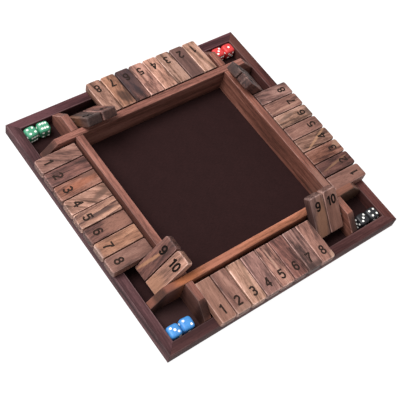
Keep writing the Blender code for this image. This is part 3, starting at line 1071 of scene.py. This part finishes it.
@dataclass
class InnerRails:
    """Four rails that lap each other where they cross, with ends that slope down to the frame."""

    foot: float = FELT_TOP + GAP
    slope_run: float = 18.9 * MM
    arris: float = 0.8 * MM
    steps: int = 4
    socket_depth: float = 5.0 * MM
    socket_play: float = 0.3 * MM
    overrun: float = 2.0 * MM
    least_flat: float = 90.0 * MM ** 2
    sawing: Sawing = Sawing(90.0, 0.6, heart_mm=(60.0, -60.0))

    @property
    def lap_z(self) -> float:
        """Height at which the lapped halves meet."""
        return (self.foot + RAIL_TOP) / 2

    def outline(self, notch_above: bool) -> tuple[list[Point2], list[Point2]]:
        """Front view of a rail in v and z.

        Args:
            notch_above: Whether the rail passes under the others.

        Returns:
            The points of its upper edge from right to left, and the rest.
        """
        end = FRAME_INNER - GAP
        shoulder = FRAME_INNER - self.slope_run
        near, far = TRAY_HALF - GAP, RAIL_OUTER + GAP
        upper, lower = [(end, FRAME_TOP), (shoulder, RAIL_TOP)], [(-end, self.foot)]
        if notch_above:
            floor = self.lap_z - GAP / 2
            upper += [(far, RAIL_TOP), (far, floor), (near, floor), (near, RAIL_TOP)]
            upper += [(-v, z) for v, z in upper[:1:-1]]
        else:
            roof = self.lap_z + GAP / 2
            lower += [(-far, self.foot), (-far, roof), (-near, roof), (-near, self.foot)]
            lower += [(-v, z) for v, z in lower[:0:-1]]
        return upper + [(-shoulder, RAIL_TOP), (-end, FRAME_TOP)], lower + [(end, self.foot)]

    def mesh(self, notch_above: bool) -> Mesh:
        """One rail in its side's frame.

        Args:
            notch_above: Whether the rail passes under the others.

        Returns:
            The mesh, with eased upper arrises and its two rod sockets.
        """
        upper, lower = self.outline(notch_above)
        shape = bmesh.new()
        rows = loft(shape, [[Vector((u, v, z)) for v, z in upper + lower] for u in (TRAY_HALF, RAIL_OUTER)])
        eased = []
        for row in rows:
            for first, second in zip(row[:len(upper)], row[1:len(upper)]):
                if max(first.co.z, second.co.z) > self.lap_z + GAP and first.co.y != second.co.y:
                    eased.append(shape.edges.get((first, second)))
        bmesh.ops.bevel(shape, geom=eased, offset=self.arris, segments=self.steps, profile=ROUND_PROFILE,
                        affect="EDGES")
        sockets = bmesh.new()
        for v in (-ROD_U, ROD_U):
            mouth = Vector((TRAY_HALF - self.overrun, v, ROD_Z))
            bottom = Vector((TRAY_HALF + self.socket_depth, v, ROD_Z))
            radius = ROD_RADIUS + self.socket_play
            round_bar(sockets, mouth, bottom, ((0.0, radius), ((bottom - mouth).length, radius)), BORE_SIDES)
        mesh = cut(finish_mesh("rail", shape), finish_mesh("sockets", sockets))
        mark_arrises(mesh, self.least_flat)
        return mesh

    def build(self) -> None:
        """Build and dress the four rails; b and d pass over a and c."""
        meshes = {True: self.mesh(True), False: self.mesh(False)}
        for side in Side:
            mesh = meshes[side in (Side.A, Side.C)]
            timber, patches = RAIL_LOOKS[side]
            sawing = replace(self.sawing, seed=f"rail {side.letter}")
            beech = timber.material(f"oiled_beech_{side.letter}", sawing, patches)
            fit(f"rail_{side.letter}", mesh, [beech], "rail_wood", side.turn, f"tray_rail_{side.letter}")


@dataclass
class TileRods:
    """Steel rods that the tiles turn on, with chamfered ends."""

    chamfer: float = 0.3 * MM
    sides: int = 32

    def build(self) -> None:
        """Build and dress the four rods."""
        low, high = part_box("tile_rod_c")
        start, end = Vector((ROD_U, low.y, ROD_Z)), Vector((ROD_U, high.y, ROD_Z))
        length, inset = (end - start).length, ROD_RADIUS - self.chamfer
        shape = bmesh.new()
        round_bar(shape, start, end, (
            (0.0, inset), (self.chamfer, ROD_RADIUS), (length - self.chamfer, ROD_RADIUS), (length, inset),
        ), self.sides)
        mesh = finish_mesh("rod", shape)
        steel = DrawnSteel().material()
        for side in Side:
            fit(f"rod_{side.letter}", mesh, [steel], "rod_steel", side.turn, f"tile_rod_{side.letter}")


@dataclass(frozen=True)
class Stroke:
    """Middle line of one stroke of a figure, in millimetres from the figure's middle, y up."""

    points: Sequence[Point2]
    closed: bool = False


def oval(centre: Point2, radii: Point2, steps: int = 32) -> Stroke:
    """A closed oval stroke."""
    return Stroke(arc(centre, radii, 0.0, 360.0, steps)[:-1], True)


FIGURE_HEIGHT_MM = 12.8
FIGURE_STROKE_MM = 2.2
TOP_MM = FIGURE_HEIGHT_MM / 2
LINE_MM = (FIGURE_HEIGHT_MM - FIGURE_STROKE_MM) / 2  # middle line of a stroke along the top or foot
SIX = (oval((0.0, -2.15), (2.75, 3.15)), Stroke(arc((0.05, 0.0), (2.85, LINE_MM), 38.0, 190.0, 18)))
FIGURES: dict[str, tuple[Stroke, ...]] = {
    "0": (oval((0.0, 0.0), (2.6, LINE_MM)),),
    "1": (Stroke(((0.6, TOP_MM), (0.6, -TOP_MM))), Stroke(((-2.3, 3.3), (-0.6, 3.9), (0.5, 5.2)))),
    "2": (
        Stroke(arc((0.0, 2.55), (2.75, 2.78), 172.0, -38.0, 18) + [(-2.55, -4.7)]),
        Stroke(((-3.6, -LINE_MM), (3.65, -LINE_MM))),
    ),
    "3": (
        Stroke(arc((-0.1, 2.75), (2.5, 2.58), 158.0, -85.0, 16) + [(-1.0, 0.2)]),
        Stroke([(-1.0, 0.25)] + arc((-0.05, -2.5), (2.8, 2.83), 88.0, -160.0, 18)),
    ),
    "4": (
        Stroke(((1.5, TOP_MM), (1.5, -TOP_MM))),
        Stroke(((-3.8, -2.5), (3.8, -2.5))),
        Stroke(((1.2, 5.2), (-3.1, -2.3))),
    ),
    "5": (
        Stroke(((-2.6, LINE_MM), (3.1, LINE_MM))),
        Stroke(((-2.05, 5.9), (-2.75, 0.1))),
        Stroke(arc((-0.05, -1.9), (2.8, 3.42), 145.0, -158.0, 20)),
    ),
    "6": SIX,
    "7": (
        Stroke(((-3.6, LINE_MM), (3.6, LINE_MM))),
        Stroke(((2.9, 4.9), (1.2, 2.6), (-0.1, -0.2), (-0.9, -3.2), (-1.1, -TOP_MM))),
    ),
    "8": (oval((0.0, 2.8), (2.3, 2.52)), oval((0.0, -2.5), (2.75, 2.82))),
    "9": tuple(Stroke([(-x, -y) for x, y in stroke.points], stroke.closed) for stroke in SIX),
}
PAIR_PITCH_MM = 6.9  # between the middles of two figures side by side


@dataclass
class FigureStamp:
    """The stamp that burns a tile's number into the wood."""

    width: float
    depth: float = 0.3 * MM
    rise: float = 0.4 * MM
    least_dot: float = 0.5  # limits how far a sharp bend widens the stroke

    def add(self, shape: Shape, number: int, face: Matrix) -> None:
        """Add the strokes of a number as closed ribbons that reach into a face.

        Args:
            shape: The bmesh that gets the ribbons.
            number: The number.
            face: Matrix of the face, with its outward direction as Z.
        """
        digits = str(number)
        for index, digit in enumerate(digits):
            shift = (index - (len(digits) - 1) / 2) * PAIR_PITCH_MM
            for stroke in FIGURES[digit]:
                self.add_ribbon(shape, stroke, shift, face)

    def add_ribbon(self, shape: Shape, stroke: Stroke, shift_mm: float, face: Matrix) -> None:
        """Add one stroke as a closed ribbon.

        Args:
            shape: The bmesh that gets the ribbon.
            stroke: The stroke.
            shift_mm: How far it moves to the right.
            face: Matrix of the face that it is cut into.
        """
        points = [Vector(((x + shift_mm) * MM, y * MM)) for x, y in stroke.points]
        rings = []
        for index, point in enumerate(points):
            before = points[index - 1] if index or stroke.closed else point
            after = points[(index + 1) % len(points)] if index < len(points) - 1 or stroke.closed else point
            steps = [step.normalized() for step in (point - before, after - point) if step.length]
            ahead = sum(steps, Vector((0.0, 0.0))).normalized()
            across = Vector((-ahead.y, ahead.x))
            half = self.width / 2 / max(self.least_dot, ahead.dot(steps[0]))
            left, right = point + across * half, point - across * half
            corners = ((left, -self.depth), (right, -self.depth), (right, self.rise), (left, self.rise))
            rings.append([face @ Vector((spot.x, spot.y, z)) for spot, z in corners])
        loft(shape, rings, stroke.closed)


@dataclass
class NumberTiles:
    """Forty hardwood tiles that turn on the rods, each with its number on both faces."""

    width: float = 20.3 * MM
    thickness: float = 12.0 * MM
    head: float = 42.4 * MM  # from the rod to the free end
    tail: float = 13.4 * MM
    nose_radius: float = 2.0 * MM
    tail_radius: float = 1.2 * MM
    arris: float = 1.1 * MM
    corner_radius: float = 3.2 * MM  # of the free end's corners, seen from above
    corner_start_deg: float = 205.0
    frame_arris: float = 1.3 * MM
    rail_arris: float = 0.8 * MM
    bore_play: float = 0.3 * MM
    figure_from_end: float = 14.6 * MM
    overrun: float = 2.0 * MM
    steps: int = 5
    least_flat: float = 25.0 * MM ** 2
    stroke: float = 2.3 * MM
    bold: float = 2.6 * MM  # stroke of the last two numbers, which stand up and take the darker char
    standing: tuple[int, ...] = (9, 10)
    heart_across_mm: Point2 = (-45.0, 45.0)
    heart_up_mm: Point2 = (-70.0, -25.0)
    dive_deg: Point2 = (-5.0, 5.0)

    def outline(self, inset: float, pull: float) -> list[Point2]:
        """Side view of a tile about its rod.

        Args:
            inset: How far it is drawn in all round.
            pull: How far the free end is drawn back besides.

        Returns:
            Its points, anticlockwise from the upper free end.
        """
        half = self.thickness / 2
        nose, tail = self.nose_radius, self.tail_radius
        return rounded((
            ((self.head - nose - pull, half - nose), nose - inset, 0.0),
            ((tail - self.tail, half - tail), tail - inset, 90.0),
            ((tail - self.tail, tail - half), tail - inset, 180.0),
            ((self.head - nose - pull, nose - half), nose - inset, 270.0),
        ), self.steps)

    def corner_pull(self, depth: float) -> float:
        """How far the rounded corner draws the free end back, this deep in from the tile's side."""
        return self.corner_radius - math.sqrt(self.corner_radius ** 2 - (self.corner_radius - depth) ** 2)

    def mesh(self, number: int) -> Mesh:
        """One tile about its rod, with its free end along X.

        Args:
            number: The number burnt into both faces.

        Returns:
            The mesh, whose material index 1 is the burnt figure.
        """
        half = self.width / 2
        ease = arc((self.arris, self.arris), (self.arris,) * 2, 180.0, 270.0, self.steps)
        middle = radii = (self.corner_radius,) * 2
        round_off = arc(middle, radii, self.corner_start_deg, 270.0, self.steps)
        ease += [(depth, 0.0) for depth, _ in round_off if depth > self.arris]
        rims = [(depth - half, inset, max(0.0, self.corner_pull(depth) - inset)) for depth, inset in ease]
        rims += [(-y, inset, pull) for y, inset, pull in reversed(rims)]
        shape = bmesh.new()
        loft(shape, [[Vector((x, y, z)) for x, z in self.outline(inset, pull)] for y, inset, pull in rims])
        bore = bmesh.new()
        reach = Vector((0.0, half + self.overrun, 0.0))
        radius = ROD_RADIUS + self.bore_play
        round_bar(bore, -reach, reach, ((0.0, radius), (2 * reach.length, radius)), BORE_SIDES)
        tile = cut(finish_mesh(f"tile_{number}", shape), finish_mesh("bore", bore))
        stamp = bmesh.new()
        tool = FigureStamp(self.bold if number in self.standing else self.stroke)
        for way in (1.0, -1.0):
            tool.add(stamp, number, Matrix((
                (0.0, -way, 0.0, self.head - self.figure_from_end),
                (1.0, 0.0, 0.0, 0.0),
                (0.0, 0.0, way, way * self.thickness / 2),
            )).to_4x4())
        mesh = cut(tile, finish_mesh("stamp", stamp), index=1, overlapping=True)
        mark_arrises(mesh, self.least_flat)
        return mesh

    def leaning(self) -> float:
        """Angle from level at which a tile's back rests on the rail's rounded outer edge."""
        away = Vector((RAIL_OUTER - self.rail_arris - ROD_U, RAIL_TOP - self.rail_arris - ROD_Z))
        reach = self.thickness / 2 + GAP + self.rail_arris
        return math.atan2(away.y, away.x) - QUARTER_TURN + math.acos(reach / away.length)

    def lying(self) -> float:
        """Angle from level at which a tile's underside rests on an upper edge of the frame."""
        reach = self.thickness / 2 + GAP
        angles = []
        for u in (FRAME_INNER + self.frame_arris, BOARD_HALF - self.frame_arris):
            away = Vector((u - ROD_U, FRAME_TOP - ROD_Z))
            angles.append(math.atan2(away.y, away.x) + QUARTER_TURN - math.acos(reach / away.length))
        return max(angles)

    def build(self) -> None:
        """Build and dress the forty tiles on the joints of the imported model."""
        hinges = [joint for joint in frame["joints"] if joint["type"] == "hinge"]
        pivots = {joint["child"]: Vector(joint["pos_m"]) for joint in hinges}
        # Painted light: figures on lying tiles take a lighter char as a painted sheen, and those on standing
        # tiles a darker one
        faint = BurntFigure("faint", "#231b18", "#352822").material()
        deep = BurntFigure("deep", "#0b0807", "#1b1310").material()
        for number in range(1, len(ROW_LOOKS[Side.A]) + 1):
            mesh = self.mesh(number)
            angle, burnt = (self.leaning(), deep) if number in self.standing else (self.lying(), faint)
            for side in Side:
                look, node = ROW_LOOKS[side][number - 1], f"tile_{side.letter}{number}"
                chance = random.Random(node)
                heart = (chance.uniform(*self.heart_across_mm), chance.uniform(*self.heart_up_mm))
                sawing = Sawing(0.0, look.slant_deg, chance.uniform(*self.dive_deg), heart, node)
                name = f"oiled_{look.tone.name.lower()}_{node}"
                timber = look.tone.value.material(name, sawing, look.patches, look.shade, look.stripes)
                place = Matrix.Translation(pivots[node]) @ side.turn @ Matrix.Rotation(-angle, 4, "Y")
                fit(f"number_{node}", mesh, [timber, burnt], look.tone.slot, place, node)


class DieColour(Enum):
    """A player's dice: their acrylic, the turn of each in degrees, and its values on top and in front."""

    GREEN = (TumbledAcrylic("green", "#489674", "#408868"), (6.0, -4.0), ((4, 6), (6, 4)))
    RED = (TumbledAcrylic("red", "#d83c3b", "#c93434"), (0.0, 2.5), ((1, 5), (3, 6)))
    BLACK = (TumbledAcrylic("black", "#252529", "#1d1d20", glow=0.0), (2.5, 1.0), ((4, 5), (3, 1)))
    BLUE = (TumbledAcrylic("blue", "#478fd2", "#3f84c6"), (-2.0, -4.0), ((3, 2), (2, 1)))


@dataclass
class CornerDice:
    """Eight dice with domed faces, rounded corners and dimpled, painted pips."""

    swell: float = 4.2  # power of the rounded cube: 2 would be a ball, and more is squarer
    cells: int = 24
    pip_spread: float = 3.6 * MM
    pip_radius: float = 1.65 * MM
    pip_depth: float = 0.45 * MM
    ball_cuts: int = 4
    sharp_deg: float = 24.0

    # Direction of each value's face on the die
    FACES = {1: (0, 0, 1), 6: (0, 0, -1), 2: (1, 0, 0), 5: (-1, 0, 0), 3: (0, 1, 0), 4: (0, -1, 0)}
    ONE = ((0, 0),)
    TWO = ((-1, -1), (1, 1))
    FOUR = TWO + ((-1, 1), (1, -1))
    SPOTS = {1: ONE, 2: TWO, 3: ONE + TWO, 4: FOUR, 5: ONE + FOUR, 6: FOUR + ((-1, 0), (1, 0))}

    def mesh(self, side: float) -> Mesh:
        """A die about its middle, with the one on top.

        Args:
            side: Its side.

        Returns:
            The mesh, whose material index 1 is the painted pips.
        """
        shape = bmesh.new()
        bmesh.ops.create_cube(shape, size=side)
        bmesh.ops.subdivide_edges(shape, edges=list(shape.edges), cuts=self.cells, use_grid_fill=True)
        for vertex in shape.verts:
            vertex.co = self.domed(vertex.co, side)
        ball = (self.pip_radius ** 2 + self.pip_depth ** 2) / (2 * self.pip_depth)
        pips = bmesh.new()
        for value, direction in self.FACES.items():
            normal = Vector(direction)
            right = Vector((normal.y, normal.z, normal.x))
            up = normal.cross(right)
            for x, y in self.SPOTS[value]:
                spot = self.domed(normal * side / 2 + (right * x + up * y) * self.pip_spread, side)
                outward = Vector([part * abs(part / side) ** (self.swell - 2) for part in spot]).normalized()
                centre = spot + outward * (ball - self.pip_depth)
                place = Matrix.Translation(centre)
                bmesh.ops.create_icosphere(pips, subdivisions=self.ball_cuts, radius=ball, matrix=place)
        return cut(finish_mesh("die", shape), finish_mesh("pips", pips), index=1, sharp_deg=self.sharp_deg)

    def domed(self, point: Vector, side: float) -> Vector:
        """Move a point of the cube's surface onto the domed die.

        Args:
            point: The point, from the die's middle.
            side: The die's side.

        Returns:
            The point on the rounded cube.
        """
        return point / sum(abs(part / (side / 2)) ** self.swell for part in point) ** (1 / self.swell)

    def seat(self, top: int, front: int) -> Matrix:
        """Rotation that brings one value on top and another to the front.

        Args:
            top: Value whose face points up.
            front: Value whose face points along -Y.

        Returns:
            The rotation.
        """
        up, ahead = Vector(self.FACES[top]), Vector(self.FACES[front])
        source = Matrix((up, ahead, up.cross(ahead))).transposed()
        target = Matrix(((0.0, 0.0, 1.0), (0.0, -1.0, 0.0), (1.0, 0.0, 0.0))).transposed()
        return (target @ source.transposed()).to_4x4()

    def build(self) -> None:
        """Build and dress the eight dice."""
        low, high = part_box("die_red_1")
        mesh = self.mesh(high.z - low.z)
        paint = PipPaint().material()
        for colour in DieColour:
            finish, turns_deg, values = colour.value
            name, acrylic = f"dice_{finish.name}", finish.material()
            for number, (turn_deg, (top, front)) in enumerate(zip(turns_deg, values), start=1):
                node = f"die_{finish.name}_{number}"
                low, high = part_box(node)
                turn = Matrix.Rotation(math.radians(turn_deg), 4, "Z")
                place = Matrix.Translation((low + high) / 2) @ turn @ self.seat(top, front)
                fit(f"{name}_{number}", mesh, [acrylic, paint], name, place, node)


@dataclass
class Studio:
    """Lit white floor, one broad soft light with an even fill, and the camera."""

    floor_half: float = 12.0
    floor_cells: int = 8
    floor_drop: float = 0.2 * MM
    fill_strength: float = 0.5
    fill_colour: str = "#ffffff"
    key_watts: float = 150.0
    key_size: float = 1.9
    key_from: tuple[float, float, float] = (-1.5, 1.0, 3.0)
    azimuth_deg: float = -52.248
    elevation_deg: float = 55.260
    roll_deg: float = 19.330
    target: tuple[float, float, float] = (-0.019464, -0.022759, 0.0)
    distance: float = 1.062535
    focal_px: float = 854.04
    frame_px: float = 400.0
    sensor_mm: float = 36.0

    def build(self) -> None:
        """Lay the floor, hang the lights and place the camera."""
        self.floor()
        self.lights()
        self.camera()

    def floor(self) -> None:
        """Lay the lit sheet."""
        shape = bmesh.new()
        cells = self.floor_cells
        bmesh.ops.create_grid(shape, x_segments=cells, y_segments=cells, size=self.floor_half)
        sheet = bpy.data.objects.new("lit_floor", finish_mesh("lit_floor", shape))
        bpy.context.scene.collection.objects.link(sheet)
        sheet.location.z = -self.floor_drop
        sheet.data.materials.append(LitOpalSheet().material())

    def lights(self) -> None:
        """Light the room evenly and hang the broad light."""
        scene = bpy.context.scene
        scene.world = bpy.data.worlds.new("studio_fill")
        scene.world.use_nodes = True
        background = scene.world.node_tree.nodes["Background"]
        background.inputs["Color"].default_value = linear(self.fill_colour)
        background.inputs["Strength"].default_value = self.fill_strength
        lamp = bpy.data.lights.new("soft_box", "AREA")
        lamp.size = self.key_size
        lamp.energy = self.key_watts
        box = bpy.data.objects.new("soft_box", lamp)
        scene.collection.objects.link(box)
        box.location = self.key_from
        box.rotation_mode = "QUATERNION"
        box.rotation_quaternion = (-Vector(self.key_from)).to_track_quat("-Z", "Y")
        scene.view_settings.view_transform = "Standard"

    def camera(self) -> None:
        """Place the camera at the photograph's angle."""
        azimuth, elevation = math.radians(self.azimuth_deg), math.radians(self.elevation_deg)
        back = Vector((math.sin(azimuth) * math.cos(elevation), -math.cos(azimuth) * math.cos(elevation),
                       math.sin(elevation)))
        right = Vector((math.cos(azimuth), math.sin(azimuth), 0.0))
        level = Matrix((right, back.cross(right), back)).transposed()
        lens = bpy.data.cameras.new("camera")
        lens.sensor_width = self.sensor_mm
        lens.lens = self.focal_px * self.sensor_mm / self.frame_px
        eye = bpy.data.objects.new("camera", lens)
        bpy.context.scene.collection.objects.link(eye)
        place = Vector(self.target) + back * self.distance
        roll = Matrix.Rotation(math.radians(self.roll_deg), 4, "Z")
        eye.matrix_world = Matrix.Translation(place) @ level.to_4x4() @ roll
        bpy.context.scene.camera = eye


def main() -> None:
    """Build and dress the board from the outside in."""
    logging.basicConfig(level=logging.INFO, format="%(message)s")
    for kind in (Studio, OuterFrame, FloorLining, InnerRails, TileRods, NumberTiles, CornerDice):
        LOG.info("building %s", kind.__name__)
        kind().build()


if __name__ == "__main__":
    main()
